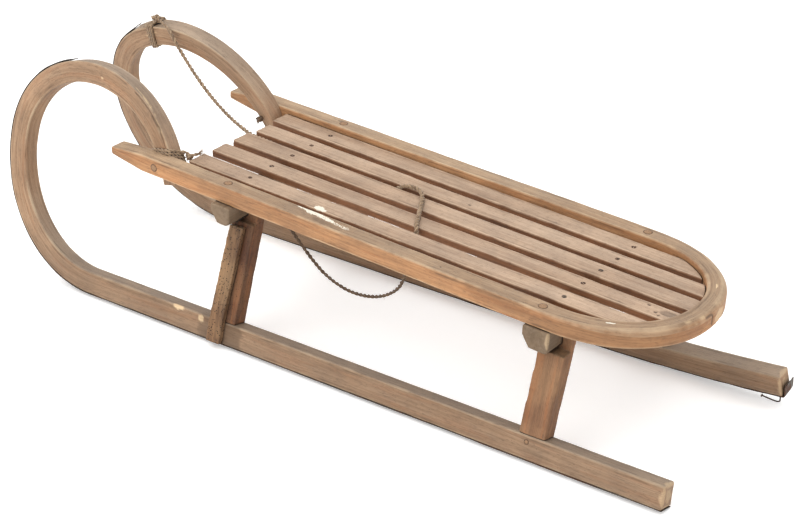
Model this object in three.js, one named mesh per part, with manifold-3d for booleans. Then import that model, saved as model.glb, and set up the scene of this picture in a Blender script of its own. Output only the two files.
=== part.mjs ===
// Bentwood sled with horned runners: two curled runners with steel shoes, four splayed legs,
// two bolsters, a U-shaped seat rail, five slats and a pull twine.
//
// Millimetres. +X points forwards, towards the horns, +Y to the sled's left and +Z up.
// The origin is in the middle of the seat's deck, midway between the bolsters. The sled is built
// standing on the ground below that point, and the last lines move it down to the origin.

import * as THREE from 'three';
import { mergeVertices } from 'three/addons/utils/BufferGeometryUtils.js';
import Module from 'manifold-3d';

const wasm = await Module();
wasm.setup();

// ---------------------------------------------------------------- driving dimensions

const GAP = 0.3; // clearance left between resting pieces
const TRACK = 340.5; // between the runners' centre lines, at their undersides
const LEAN = rad(12.5); // the runners' planes lean in towards the top
const SPLAY = rad(5.5); // the legs lean in by this much more

const RUNNER = {
  width: 28,
  depth: 35, // of the straight bar
  hornDepth: 34, // where the horn starts to taper
  taperFrom: 0.6, // that place, as a share of the horn's turn
  tipDepth: 24, // at the end of the horn's tail
  rearX: { left: -497, right: -503 },
  bendX: 550, // where the bar starts to curl up
  bevel: 1.5,
};
const HORN_ARCS = [[198, 80], [224, 18], [154, 57], [191, 103]]; // radius and turn in degrees
const RIGHT_HORN_SCALE = 1.02; // the right horn was bent a little wider
const WARP = { startX: -150, radius: 3000 }; // the right runner's rear end has warped upwards

const SHOE = { width: 24, thickness: 1.8, nailSpots: [-450, -150, 150, 450] };
const SHOE_END = { left: rad(162), right: rad(149) }; // how far up each horn its shoe is bent
const SHOE_TAB_RISE = 18; // the right shoe's rear end curls up behind the runner
const SHOE_NAIL = { headRadius: 3, headHeight: 1.3, shankRadius: 1.4, length: 14 };

const SEAT_HEIGHT = 241.4; // top of the seat rail, midway between the bolsters
const SEAT_PITCH = rad(3.25); // the seat rises towards the front

const RAIL = {
  outerWidth: 307,
  thickness: 28,
  height: 28,
  frontX: 507,
  bendX: -290, // where the rear bend starts
  rearX: -460,
  roundness: 2.15, // exponent of the superellipse that the rear bend follows
  tipTaper: 64, // length of the cut-away under each front tip
  tipHeight: 12,
  tipDroop: 6, // how far each front tip's top slopes down
};

const SLAT_TOP = -8.4; // below the top of the rail
const SLAT_THICKNESS = 12.5;
const SLAT_FAN = 0.023; // the slats spread towards the front by this share at each bolster
const SLATS = [
  { near: 105, far: 71, frontX: 386 },
  { near: 54.5, far: 22.5, frontX: 385 },
  { near: 8, far: -28, frontX: 384 },
  { near: -39.5, far: -72.5, frontX: 379 },
  { near: -85.5, far: -119.5, frontX: 384 },
];
const SLAT_SCREW = { headRadius: 4, headHeight: 2, shankRadius: 1.8, length: 24 };

const FRONT_BOLSTER = { x: 277, length: 326, width: 36, bottom: -67, corner: 15, screwX: 280 };
const REAR_BOLSTER = { x: -278, length: 314, width: 42, bottom: -70, corner: 11, screwX: -277 };
const BOLSTER_NOSE = { width: 18, height: 27 }; // the chamfer under the front side
const BOLSTER_RISE = 9; // how far the underside lifts at each end
const RAIL_PLUG = { radius: 5, length: 34 };

const LEG = { width: 42, thickness: 26, frontX: 270, rearX: -287, slant: rad(1.8), headOuter: 119 };
const TENON = { width: 24, thickness: 13, depth: 20 };
const LEG_PEG = { radius: 3, length: 22 };
const SPLINT = { width: 26, thickness: 9, slant: rad(3.7), top: 186.5 };
const HORN_PLUG = { x: 417, z: -14, radius: 4.5, length: 38 };

const ROPE_RADIUS = 2.2;
const NAIL_RADIUS = 1.1;

// ---------------------------------------------------------------- materials

const finish = (color, roughness, metalness = 0) => ({ color, roughness, metalness });
const RUNNER_WOOD = finish(0x9d8468, 0.7);
const RAIL_WOOD = finish(0xb58a62, 0.62);
const SLAT_WOOD = finish(0xb49c82, 0.75);
const BOLSTER_WOOD = finish(0x7d6a56, 0.8);
const LEG_WOOD = finish(0x8a6145, 0.75);
const SPLINT_WOOD = finish(0x94785a, 0.85);
const PEG_WOOD = finish(0x8f6f50, 0.75);
const STEEL = finish(0x3d3833, 0.55, 0.8);
const RUSTY_STEEL = finish(0x5a4334, 0.7, 0.6);
const TWINE = finish(0x9a7350, 0.95);

// ---------------------------------------------------------------- solid helpers

function rad(degrees) {
  return degrees * Math.PI / 180;
}

function toSolid(geometry, matrix = new THREE.Matrix4()) {
  const bare = geometry.clone().applyMatrix4(matrix);
  bare.deleteAttribute('normal');
  bare.deleteAttribute('uv');
  const merged = mergeVertices(bare, 1e-4);
  const corners = merged.index.array;
  const triangles = [];
  for (let i = 0; i < corners.length; i += 3) {
    const [a, b, c] = corners.slice(i, i + 3);
    if (a !== b && b !== c && c !== a) {
      triangles.push(a, b, c);
    }
  }
  return new wasm.Manifold(new wasm.Mesh({
    numProp: 3,
    vertProperties: new Float32Array(merged.attributes.position.array),
    triVerts: new Uint32Array(triangles),
  }));
}

function toGeometry(solid) {
  const mesh = solid.getMesh();
  const geometry = new THREE.BufferGeometry();
  geometry.setAttribute('position', new THREE.BufferAttribute(mesh.vertProperties, 3));
  geometry.setIndex(new THREE.BufferAttribute(mesh.triVerts, 1));
  geometry.computeVertexNormals();
  return geometry;
}

// A cutting tool: a geometry that stands in a group of the sled, but is not part of it.
function tool(parent, geometry) {
  parent.updateWorldMatrix(true, false);
  return { geometry, toWorld: parent.matrixWorld.clone() };
}

function carve(mesh, ...tools) {
  mesh.updateWorldMatrix(true, false);
  const toLocal = mesh.matrixWorld.clone().invert();
  let solid = toSolid(mesh.geometry);
  for (const { geometry, toWorld } of tools) {
    solid = solid.subtract(toSolid(geometry, toLocal.clone().multiply(toWorld)));
  }
  mesh.geometry = toGeometry(solid);
  return mesh;
}

// A closed outline, drawn in the X-Z plane and centred on Y.
function slabXZ(points, width, bevel = 0) {
  const shape = new THREE.Shape(points.map(([x, z]) => new THREE.Vector2(x, -z)));
  const geometry = new THREE.ExtrudeGeometry(shape, {
    depth: width - 2 * bevel,
    bevelEnabled: bevel > 0,
    bevelThickness: bevel,
    bevelSize: bevel,
    bevelOffset: -bevel,
    bevelSegments: 1,
  });
  return geometry.translate(0, 0, -width / 2 + bevel).rotateX(-Math.PI / 2);
}

// A closed outline, drawn in the Y-Z plane and centred on X.
function slabYZ(points, width) {
  const shape = new THREE.Shape(points.map(([y, z]) => new THREE.Vector2(y, z)));
  const geometry = new THREE.ExtrudeGeometry(shape, { depth: width, bevelEnabled: false });
  return geometry.translate(0, 0, -width / 2).rotateX(Math.PI / 2).rotateZ(Math.PI / 2);
}

// A closed outline, drawn in the X-Y plane, from z = bottom up to z = top.
function slabXY(points, bottom, top) {
  const shape = new THREE.Shape(points.map(([x, y]) => new THREE.Vector2(x, y)));
  const geometry = new THREE.ExtrudeGeometry(shape, { depth: top - bottom, bevelEnabled: false });
  return geometry.translate(0, 0, bottom);
}

function rod(radius, length, segments = 14) {
  return new THREE.CylinderGeometry(radius, radius, length, segments);
}

// A screw or nail that points along -Z, with the top of its head at z = 0.
function screwGeometry({ headRadius, headHeight, shankRadius, length }, grow = 0) {
  const profile = [
    [0, -length - grow],
    [shankRadius + grow, -length - grow],
    [shankRadius + grow, -headHeight - grow],
    [headRadius + 1.4 * grow, grow],
    [0, grow],
  ].map(([r, z]) => new THREE.Vector2(r, z));
  return new THREE.LatheGeometry(profile, 10).rotateX(Math.PI / 2);
}

const sled = new THREE.Group();

function place(parent, name, geometry, look) {
  const mesh = new THREE.Mesh(geometry, new THREE.MeshStandardMaterial(look));
  mesh.name = name;
  parent.add(mesh);
  return mesh;
}

// ---------------------------------------------------------------- runners and shoes

// A station is a place on the outer (convex) side of a runner, with the bar's heading there and
// how far round the horn it is, from 0 to 1.
const FULL_TURN = rad(HORN_ARCS.reduce((sum, [, turn]) => sum + turn, 0));

function hornStation(isRight, heading) {
  let x = RUNNER.bendX;
  let z = 0;
  let turned = 0;
  for (const [radius, turn] of HORN_ARCS) {
    const r = radius * (isRight ? RIGHT_HORN_SCALE : 1);
    const end = Math.min(heading, turned + rad(turn));
    x += r * (Math.sin(end) - Math.sin(turned));
    z += r * (Math.cos(turned) - Math.cos(end));
    turned = end;
  }
  return { x, z, heading, around: heading / FULL_TURN };
}

function warpStation(x) {
  const turn = Math.asin((WARP.startX - x) / WARP.radius);
  return { x, z: WARP.radius * (1 - Math.cos(turn)), heading: -turn, around: 0 };
}

// The stations from a runner's rear end to the tip of its horn.
function runnerStations(isRight) {
  const stations = [];
  const warpSteps = 4;
  if (isRight) {
    for (let i = 0; i <= warpSteps; i++) {
      stations.push(warpStation(THREE.MathUtils.lerp(RUNNER.rearX.right, WARP.startX, i / warpSteps)));
    }
  } else {
    stations.push({ x: RUNNER.rearX.left, z: 0, heading: 0, around: 0 });
  }
  const hornSteps = 30;
  for (let i = 0; i <= hornSteps; i++) {
    stations.push(hornStation(isRight, FULL_TURN * i / hornSteps));
  }
  return stations;
}

// Moves a station inwards, away from the convex side.
function inset({ x, z, heading }, distance) {
  return [x - distance * Math.sin(heading), z + distance * Math.cos(heading)];
}

function barDepth(around) {
  const { depth, hornDepth, tipDepth, taperFrom } = RUNNER;
  return around < taperFrom
    ? THREE.MathUtils.lerp(depth, hornDepth, around / taperFrom)
    : THREE.MathUtils.lerp(hornDepth, tipDepth, ((around - taperFrom) / (1 - taperFrom)) ** 2);
}

function runnerOutline(isRight, grow = 0) {
  const stations = runnerStations(isRight);
  const outer = stations.map((s) => inset(s, -grow));
  const inner = stations.map((s) => inset(s, barDepth(s.around) + grow)).reverse();
  return [...outer, ...inner];
}

function shoeOutline(isRight) {
  const end = isRight ? SHOE_END.right : SHOE_END.left;
  const stations = runnerStations(isRight).filter((s) => s.heading < end);
  stations.push(hornStation(isRight, end));
  const near = stations.map((s) => inset(s, -GAP));
  const away = stations.map((s) => inset(s, -GAP - SHOE.thickness)).reverse();
  if (!isRight) {
    return [...near, ...away];
  }
  const [x, z] = near[0];
  const behind = x - GAP - SHOE.thickness;
  const tab = [[behind, z - SHOE.thickness], [behind, z + SHOE_TAB_RISE], [x - GAP, z + SHOE_TAB_RISE]];
  return [[x - GAP, z], ...near.slice(1), ...away.slice(0, -1), ...tab];
}

function makeSide(isRight) {
  const side = isRight ? -1 : 1;
  const prefix = isRight ? 'right' : 'left';
  const group = new THREE.Group();
  const groundClearance = (GAP + SHOE.thickness) * Math.cos(LEAN) + SHOE.width / 2 * Math.sin(LEAN);
  group.position.set(0, side * TRACK / 2, groundClearance);
  group.rotation.x = side * LEAN;
  sled.add(group);

  const runner = place(group, `${prefix}_runner`,
    slabXZ(runnerOutline(isRight), RUNNER.width, RUNNER.bevel), RUNNER_WOOD);
  const shoe = place(group, `${prefix}_runner_shoe`, slabXZ(shoeOutline(isRight), SHOE.width), STEEL);

  // Shoe nails, driven up through the shoe into the runner.
  SHOE.nailSpots.forEach((spot, i) => {
    const setIn = 0.4;
    const level = warpLift(side, spot) - GAP - SHOE.thickness + setIn;
    const move = (screw) => screw.rotateX(Math.PI).translate(spot, 0, level);
    place(group, `${prefix}_shoe_nail_${i + 1}`, move(screwGeometry(SHOE_NAIL)), RUSTY_STEEL);
    const hole = tool(group, move(screwGeometry(SHOE_NAIL, GAP)));
    carve(shoe, hole);
    carve(runner, hole);
  });
  return { group, runner, shoe, side, prefix };
}

const left = makeSide(false);
const right = makeSide(true);

// ---------------------------------------------------------------- seat

const seat = new THREE.Group();
seat.position.z = SEAT_HEIGHT;
seat.rotation.y = -SEAT_PITCH;
sled.add(seat);

// The U that the rail follows, seen from above, at a distance inside its outer side.
function railPath(insetBy) {
  const halfWidth = RAIL.outerWidth / 2 - insetBy;
  const reach = RAIL.bendX - RAIL.rearX - insetBy;
  const steps = 22;
  const points = [[RAIL.frontX, -halfWidth]];
  for (let i = 0; i <= steps; i++) {
    const angle = Math.PI * i / steps;
    const power = 2 / RAIL.roundness;
    const along = Math.sin(angle) ** power;
    const across = Math.abs(Math.cos(angle)) ** power * Math.sign(Math.cos(angle));
    points.push([RAIL.bendX - reach * along, -halfWidth * across]);
  }
  points.push([RAIL.frontX, halfWidth]);
  return points;
}

const railOutline = [...railPath(0), ...railPath(RAIL.thickness).reverse()];
const rail = place(seat, 'seat_rail', slabXY(railOutline, -RAIL.height, 0), RAIL_WOOD);

// Each front tip slopes down on top and is cut away underneath.
function tipWedge(tipLevel, fullLevel, away) {
  return slabXZ([
    [RAIL.frontX - RAIL.tipTaper, fullLevel],
    [RAIL.frontX + 5, tipLevel],
    [RAIL.frontX + 5, away],
    [RAIL.frontX - RAIL.tipTaper, away],
  ], RAIL.outerWidth + 10);
}
const tipBottom = -RAIL.tipHeight - RAIL.tipDroop;
carve(rail, tool(seat, tipWedge(-RAIL.tipDroop, 0, 5)),
  tool(seat, tipWedge(tipBottom, -RAIL.height, -RAIL.height - 5)));

// Slats lie on the bolsters and end just inside the rail's bend.
const insideRail = toSolid(slabXY(railPath(RAIL.thickness + 1.2), -60, 20));
const slats = SLATS.map(({ near, far, frontX }, i) => {
  const spread = (y, x) => y * (1 + SLAT_FAN * x / FRONT_BOLSTER.screwX);
  const outline = [
    [frontX, spread(far, frontX)],
    [frontX, spread(near, frontX)],
    [RAIL.rearX, spread(near, RAIL.rearX)],
    [RAIL.rearX, spread(far, RAIL.rearX)],
  ];
  const board = toSolid(slabXY(outline, SLAT_TOP - SLAT_THICKNESS, SLAT_TOP));
  const slat = place(seat, `slat_${i + 1}`, toGeometry(board.intersect(insideRail)), SLAT_WOOD);
  return { slat, middle: (x) => spread((near + far) / 2, x) };
});

// A bolster is the solid common to its end view and its front view.
function bolsterGeometry({ x, length, width, bottom, corner }) {
  const half = width / 2;
  const deck = SLAT_TOP - SLAT_THICKNESS - GAP;
  const endView = [
    [x - half, deck],
    [x - half, bottom + corner],
    [x - half + corner, bottom],
    [x + half - BOLSTER_NOSE.width, bottom],
    [x + half, bottom + BOLSTER_NOSE.height],
    [x + half, deck],
  ];
  const end = length / 2;
  const railSeat = -RAIL.height - GAP;
  const railInside = RAIL.outerWidth / 2 - RAIL.thickness - 4 * GAP;
  const halfView = [
    [0, bottom],
    [end - 34, bottom],
    [end - 12, bottom + BOLSTER_RISE * 0.4],
    [end, bottom + BOLSTER_RISE],
    [end, railSeat],
    [railInside, railSeat],
    [railInside, deck],
  ];
  const mirrored = halfView.slice(1).reverse().map(([y, z]) => [-y, z]);
  const frontView = slabYZ([...halfView, ...mirrored], width + 4).translate(x, 0, 0);
  return toGeometry(toSolid(slabXZ(endView, length)).intersect(toSolid(frontView)));
}

const frontBolster = place(seat, 'front_bolster', bolsterGeometry(FRONT_BOLSTER), BOLSTER_WOOD);
const rearBolster = place(seat, 'rear_bolster', bolsterGeometry(REAR_BOLSTER), BOLSTER_WOOD);

const bolsters = [
  { label: 'front', bolster: frontBolster, screwX: FRONT_BOLSTER.screwX },
  { label: 'rear', bolster: rearBolster, screwX: REAR_BOLSTER.screwX },
];

for (const { label, bolster, screwX } of bolsters) {
  // One screw through each slat.
  slats.forEach(({ slat, middle }, i) => {
    const move = (g) => g.translate(screwX, middle(screwX), SLAT_TOP - 0.3);
    place(seat, `${label}_slat_screw_${i + 1}`, move(screwGeometry(SLAT_SCREW)), RUSTY_STEEL);
    const hole = tool(seat, move(screwGeometry(SLAT_SCREW, GAP)));
    carve(slat, hole);
    carve(bolster, hole);
  });

  // One wooden plug down through the rail on each side.
  for (const [prefix, side] of [['left', 1], ['right', -1]]) {
    const y = side * (RAIL.outerWidth - RAIL.thickness) / 2;
    const stand = (g, length) => g.rotateX(Math.PI / 2).translate(screwX, y, -length / 2);
    const plug = stand(rod(RAIL_PLUG.radius, RAIL_PLUG.length), RAIL_PLUG.length).translate(0, 0, -0.2);
    place(seat, `${label}_${prefix}_rail_plug`, plug, PEG_WOOD);
    const bore = stand(rod(RAIL_PLUG.radius + GAP + 0.1, RAIL_PLUG.length + 2), RAIL_PLUG.length);
    carve(rail, tool(seat, bore));
    carve(bolster, tool(seat, bore));
  }
}

// ---------------------------------------------------------------- legs

// How far a place on the right runner's underside has risen with the warp.
function warpLift(side, x) {
  return side < 0 && x < WARP.startX ? (WARP.startX - x) ** 2 / (2 * WARP.radius) : 0;
}

// Everything over a level of the seat, between two distances from the middle plane.
function spaceOver(level, fromY, toY) {
  return slabXY([[-600, fromY], [600, fromY], [600, toY], [-600, toY]], level, 100);
}

// A leg stands flush with the runner's outer side, leans in above it and laps behind its bolster.
function makeLeg({ group, runner, side, prefix }, label, x, bolster) {
  const isRight = side < 0;
  const foot = RUNNER.depth - 3;
  const top = 240;
  const outer = RUNNER.width / 2 - 0.2;
  const inner = outer - LEG.thickness;
  const drift = Math.tan(SPLAY) * (top - foot);
  const outline = [
    [inner, foot],
    [outer, foot],
    [outer - drift, top],
    [inner - drift, top],
  ].map(([y, z]) => [side * y, z]);
  const slant = new THREE.Matrix4().makeShear(0, 0, 0, 0, -Math.tan(LEG.slant), 0);
  const slab = slabYZ(isRight ? outline.reverse() : outline, LEG.width)
    .translate(x, 0, -RUNNER.depth).applyMatrix4(slant).translate(0, 0, RUNNER.depth);
  const shank = toSolid(slab)
    .subtract(toSolid(slabXZ(runnerOutline(isRight, GAP), RUNNER.width + 2)));

  const shoulder = RUNNER.depth + GAP + warpLift(side, x - LEG.width / 2);
  const middle = shoulder - TENON.depth / 2;
  const tenon = new THREE.BoxGeometry(TENON.width, TENON.thickness, TENON.depth + 4)
    .translate(x, 0, middle + 2);
  const leg = place(group, `${label}_${prefix}_leg`, toGeometry(shank.add(toSolid(tenon))), LEG_WOOD);
  const mortise = new THREE.BoxGeometry(
    TENON.width + 2 * GAP, TENON.thickness + 2 * GAP, TENON.depth + 20).translate(x, 0, middle + 9);
  carve(runner, tool(group, mortise));

  // The head is lapped: the bolster takes its front part and the rest passes behind.
  const railInside = RAIL.outerWidth / 2 - RAIL.thickness - 2.5;
  const housing = slabXZ([
    [bolster.x - bolster.width / 2 - GAP, 0],
    [bolster.x - bolster.width / 2 - GAP, bolster.bottom + bolster.corner],
    [bolster.x - bolster.width / 2 + bolster.corner - GAP, bolster.bottom - 2 * GAP],
    [bolster.x + bolster.width / 2 + 5, bolster.bottom - 2 * GAP],
    [bolster.x + bolster.width / 2 + 5, 0],
  ], bolster.length + 30);
  const outside = (level, y) => spaceOver(level, Math.min(side * y, side * 200), Math.max(side * y, side * 200));
  carve(leg, tool(seat, spaceOver(SLAT_TOP - SLAT_THICKNESS - 1, -200, 200)),
    tool(seat, outside(-RAIL.height - 1, railInside)),
    tool(seat, outside(bolster.bottom + 3, LEG.headOuter)), tool(seat, housing));

  // A peg from the runner's outer side locks the tenon.
  const lay = (rodGeometry, out) => rodGeometry.translate(
    x + 6, side * (outer - LEG_PEG.length / 2 + out), middle);
  place(group, `${label}_${prefix}_leg_peg`, lay(rod(LEG_PEG.radius, LEG_PEG.length, 12), 0), PEG_WOOD);
  const pegHole = tool(group, lay(rod(LEG_PEG.radius + GAP, LEG_PEG.length + 2, 12), 0.7));
  carve(runner, pegHole);
  carve(leg, pegHole);
}

for (const sideParts of [left, right]) {
  makeLeg(sideParts, 'front', LEG.frontX, FRONT_BOLSTER);
  makeLeg(sideParts, 'rear', LEG.rearX, REAR_BOLSTER);
}

// A rough splint is lapped over the outside of the front left leg and of the runner below it.
function makeSplint() {
  const skin = RUNNER.width / 2 + GAP + 0.1;
  const knee = RUNNER.depth;
  const drift = Math.tan(SPLAY) * (SPLINT.top - knee);
  const outline = [
    [skin, 1],
    [skin + SPLINT.thickness, 1],
    [skin + SPLINT.thickness, knee],
    [skin + SPLINT.thickness - drift, SPLINT.top],
    [skin - drift, SPLINT.top],
    [skin, knee],
  ];
  const lean = new THREE.Matrix4().makeShear(0, 0, 0, 0, -Math.tan(SPLINT.slant), 0);
  return slabYZ(outline, SPLINT.width).applyMatrix4(lean).translate(LEG.frontX + 11, 0, 0);
}
const splint = place(left.group, 'front_left_leg_splint', makeSplint(), SPLINT_WOOD);

// ---------------------------------------------------------------- rail to horn joints

for (const { runner, side, prefix } of [left, right]) {
  const isRight = side < 0;
  const hornSpace = slabXZ(runnerOutline(isRight, 0.6), RUNNER.width + 1.2);
  const parent = isRight ? right.group : left.group;
  carve(rail, tool(parent, hornSpace));

  const outerY = RAIL.outerWidth / 2;
  const lay = (g, slack) => g.translate(
    HORN_PLUG.x, side * (outerY - HORN_PLUG.length / 2 + slack), HORN_PLUG.z);
  const plug = lay(rod(HORN_PLUG.radius, HORN_PLUG.length), -0.3);
  place(seat, `${prefix}_horn_plug`, plug, PEG_WOOD);
  const bore = tool(seat, lay(rod(HORN_PLUG.radius + GAP + 0.1, HORN_PLUG.length + 3), 1));
  carve(rail, bore);
  carve(runner, bore);
}

// ---------------------------------------------------------------- bent nail

// A nail under the right runner's warped rear end. Its point is bent forwards.
{
  const x = RUNNER.rearX.right + 7;
  const y = 8;
  const under = warpLift(-1, x) - SHOE.thickness;
  const path = [[x, under + 12], [x, under - 10], [x + 5, under - 15], [x + 30, under - 13]]
    .map(([px, pz]) => new THREE.Vector3(px, y, pz));
  const nail = bendRod(path, NAIL_RADIUS, 6, 12);
  place(right.group, 'bent_nail', nail, RUSTY_STEEL);
  const hole = rod(NAIL_RADIUS + 0.9, 24, 10).rotateX(Math.PI / 2).translate(x, y, under + 2);
  carve(right.shoe, tool(right.group, hole));
  carve(right.runner, tool(right.group, hole));
}

// ---------------------------------------------------------------- pull twine

// The twine is one line, modelled in stretches: it is tied to the top of the right horn, spans to
// the seat's front, runs in and under the gap between two slats, crosses over two slats, hangs in
// a slack loop below the seat and ends at the foot of the left horn.

function bendRod(points, radius, sides, steps) {
  const corners = [];
  for (let i = 0; i < sides; i++) {
    const angle = 2 * Math.PI * i / sides;
    corners.push(new THREE.Vector2(radius * Math.cos(angle), radius * Math.sin(angle)));
  }
  return new THREE.ExtrudeGeometry(new THREE.Shape(corners), {
    steps,
    extrudePath: new THREE.CatmullRomCurve3(points, false, 'centripetal'),
    bevelEnabled: false,
  });
}

function twine(points, steps) {
  return bendRod(points, ROPE_RADIUS, 5, steps);
}

function knot(centre, radii) {
  return new THREE.SphereGeometry(1, 8, 6).scale(...radii).translate(centre.x, centre.y, centre.z);
}

// Turns of twine round a horn's tail, in the side's own frame. They start and end on the convex
// side. Offsets along the bar are positive towards the horn's tip.
function turnsRound(isRight, heading, { turns, pitch, outwardTilt = 0, inwardTilt = 0 }) {
  const slack = ROPE_RADIUS + 1;
  const power = 0.25; // a small power squares the loops to the bar
  const tailRadius = HORN_ARCS.at(-1)[0];
  const perTurn = 12;
  const points = [];
  for (let i = 0; i <= turns * perTurn; i++) {
    const angle = 2 * Math.PI * i / perTurn;
    const inward = -(Math.abs(Math.cos(angle)) ** power) * Math.sign(Math.cos(angle));
    const outward = Math.abs(Math.sin(angle)) ** power * Math.sign(Math.sin(angle));
    const offset = pitch * (i / perTurn - turns / 2) + outwardTilt * outward + inwardTilt * inward;
    const station = hornStation(isRight, heading + offset / tailRadius);
    const depth = barDepth(station.around);
    const [x, z] = inset(station, depth / 2 + (depth / 2 + slack) * inward);
    points.push(new THREE.Vector3(x, (RUNNER.width / 2 + slack) * outward, z));
  }
  return points;
}

const v = (x, y, z) => new THREE.Vector3(x, y, z);
const fromSide = (side, point) => side.group.localToWorld(point.clone());
const fromSeat = (x, y, z) => seat.localToWorld(v(x, y, z));
sled.updateMatrixWorld(true);

function join(geometries) {
  return toGeometry(geometries.map((g) => toSolid(g)).reduce((sum, solid) => sum.add(solid)));
}

// Lashing and knot on top of the right horn, with a short end that leads to the span.
const hornTop = hornStation(true, rad(163));
const topTurns = turnsRound(true, rad(163), { turns: 3, pitch: 5 });
const topKnot = v(hornTop.x - 11, 3, hornTop.z + 13);
const spanStart = v(hornTop.x - 53, 17, hornTop.z + 10.2);
place(right.group, 'right_horn_lashing', join([
  twine(topTurns, 60),
  knot(topKnot, [10, 8, 8]),
  twine([topTurns.at(-1), v(hornTop.x - 3, 0, hornTop.z + 8), topKnot], 6),
  twine([
    topKnot, v(hornTop.x - 24, 7.5, hornTop.z + 9.2), v(hornTop.x - 40, 12.5, hornTop.z + 10.9), spanStart,
  ], 8),
]), TWINE);

// Lashing at the foot of the left horn, with a knot and a frayed end over the first slat.
const footTurns = turnsRound(false, rad(237),
  { turns: 3, pitch: 4.7, outwardTilt: -5, inwardTilt: -15 });
const footKnot = v(393, 99.5, 257);
place(sled, 'left_horn_lashing', join([
  twine(footTurns.map((point) => fromSide(left, point)), 60),
  knot(footKnot, [6, 6, 6]),
  twine([fromSide(left, footTurns[0]), v(398, 100, 268), footKnot], 6),
  twine([footKnot, v(386, 98, 262), v(373, 96, 262.5)], 6),
]), TWINE);

// A leftover knot on the inner front corner of the right horn's tail.
place(right.group, 'right_tail_knot', knot(v(420, 19.2, 250), [6, 4.5, 6]), TWINE);

// Slack span from the right horn to the seat's front. It swings about the line between its ends.
const SPAN_SAG = 22;
const SPAN_END_GAP = 1.7;
const spanTo = fromSeat(382, -34, -14);
const spanFrom = fromSide(right, spanStart);
spanFrom.add(spanTo.clone().sub(spanFrom).setLength(SPAN_END_GAP));
const spanPoints = [];
for (let i = 0; i <= 10; i++) {
  const t = i / 10;
  spanPoints.push(spanFrom.clone().lerp(spanTo, t).add(v(0, 0, -SPAN_SAG * 4 * t * (1 - t))));
}
place(sled, 'twine_span', twine(spanPoints, 20), TWINE);

// Along the gap between slats 3 and 4, up through it, over slats 3 and 2 and down again.
place(sled, 'twine_seat_run', twine([
  [378, -34, -14.2], [330, -34, -16.5], [285, -34, -17.2], [250, -34, -19], [215, -34, -27],
  [150, -34, -30], [112, -34, -25], [96, -34, -15], [84, -34.2, -5.5], [70, -34, -1.5],
  [56, -33, -1], [45, -27, -2], [36, -16, -3.4], [27, -1, -3.8], [12, 25, -3.8],
  [0, 47, -4.4], [-6, 56, -5], [-10, 61.5, -9], [-11, 62.8, -15], [-11, 62.8, -22],
].map((point) => fromSeat(...point)), 60), TWINE);

// The hanging loop. It swings about the line between its ends.
const loopFront = v(238, 62, 179);
const loopRear = v(-11, 62, 214);
place(sled, 'twine_loop', twine([
  loopFront, v(205, 62, 144), v(160, 62, 108), v(112, 62, 94), v(60, 62, 102), v(24, 62, 127),
  v(8, 62, 161), loopRear,
], 32), TWINE);

// From the loop's front end, under the front bolster, up to the foot of the left horn.
place(sled, 'twine_tail_run', twine([
  v(240, 62.5, 181), v(262, 72, 185), v(300, 88, 185), v(340, 95, 200), v(372, 97, 219),
  v(388, 97, 236), v(391.5, 98, 248),
], 22), TWINE);

// The origin goes to the top of the middle slat.
sled.position.copy(fromSeat(0, 0, SLAT_TOP)).negate();

export default sled;
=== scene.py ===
# A weathered sled: two bentwood runners that curl up into horns, four legs, two bolsters, a curved
# seat rail with slats, thin steel shoes and a brown pull twine. Metres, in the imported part's frame.

from math import asin, cos, pi, radians, sin

import bpy
import numpy as np
from mathutils import Matrix, Vector


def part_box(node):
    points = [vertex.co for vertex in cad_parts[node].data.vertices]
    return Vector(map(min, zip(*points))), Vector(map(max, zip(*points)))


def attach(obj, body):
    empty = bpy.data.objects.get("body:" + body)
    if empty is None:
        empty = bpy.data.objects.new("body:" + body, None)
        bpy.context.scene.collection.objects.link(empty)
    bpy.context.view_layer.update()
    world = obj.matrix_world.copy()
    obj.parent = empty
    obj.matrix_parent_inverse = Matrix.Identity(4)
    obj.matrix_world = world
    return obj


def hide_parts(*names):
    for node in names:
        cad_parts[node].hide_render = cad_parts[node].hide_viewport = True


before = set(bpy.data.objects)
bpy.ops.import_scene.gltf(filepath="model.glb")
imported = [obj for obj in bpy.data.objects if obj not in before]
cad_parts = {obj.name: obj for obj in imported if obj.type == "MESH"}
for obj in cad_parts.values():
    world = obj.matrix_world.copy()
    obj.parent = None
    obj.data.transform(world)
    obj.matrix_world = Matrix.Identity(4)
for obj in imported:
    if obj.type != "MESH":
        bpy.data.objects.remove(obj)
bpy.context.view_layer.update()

MM = 0.001
LEFT, RIGHT = 1, -1
LABELS = {LEFT: "left", RIGHT: "right"}
GOLDEN = 0.6180339887

# ---- the sled's own sizes

TRACK = 340.5 * MM
LEAN = radians(12.5)
SPLAY = radians(5.5)
PITCH = radians(3.25)

RUNNER_WIDTH = 28 * MM
RUNNER_DEPTH = 35 * MM
HORN_DEPTH = 34 * MM
TAPER_FROM = 0.6
TIP_DEPTH = 24 * MM
RUNNER_REAR = {LEFT: -497 * MM, RIGHT: -503 * MM}
BEND_START = 550 * MM
HORN_ARCS = [(198 * MM, 80), (224 * MM, 18), (154 * MM, 57), (191 * MM, 103)]
FULL_TURN = radians(sum(turn for _, turn in HORN_ARCS))
RIGHT_HORN_SCALE = 1.02
WARP_START = -150 * MM
WARP_RADIUS = 3.0

SHOE_WIDTH = 24 * MM
SHOE_THICKNESS = 1.8 * MM
SHOE_TAB_RISE = 18 * MM
SHOE_END = {LEFT: radians(162), RIGHT: radians(149)}
SHOE_GAP = 0.3 * MM
SHOE_METAL = 1.2 * MM
SHOE_SPREAD = 3 * MM

SLAT_TOP = -8.4 * MM
SLAT_THICKNESS = 12.5 * MM
SLAT_FAN = 0.023
SLAT_FAN_X = 280 * MM
SLATS = [(105, 71, 386), (54.5, 22.5, 385), (8, -28, 384), (-39.5, -72.5, 379), (-85.5, -119.5, 384)]

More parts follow.
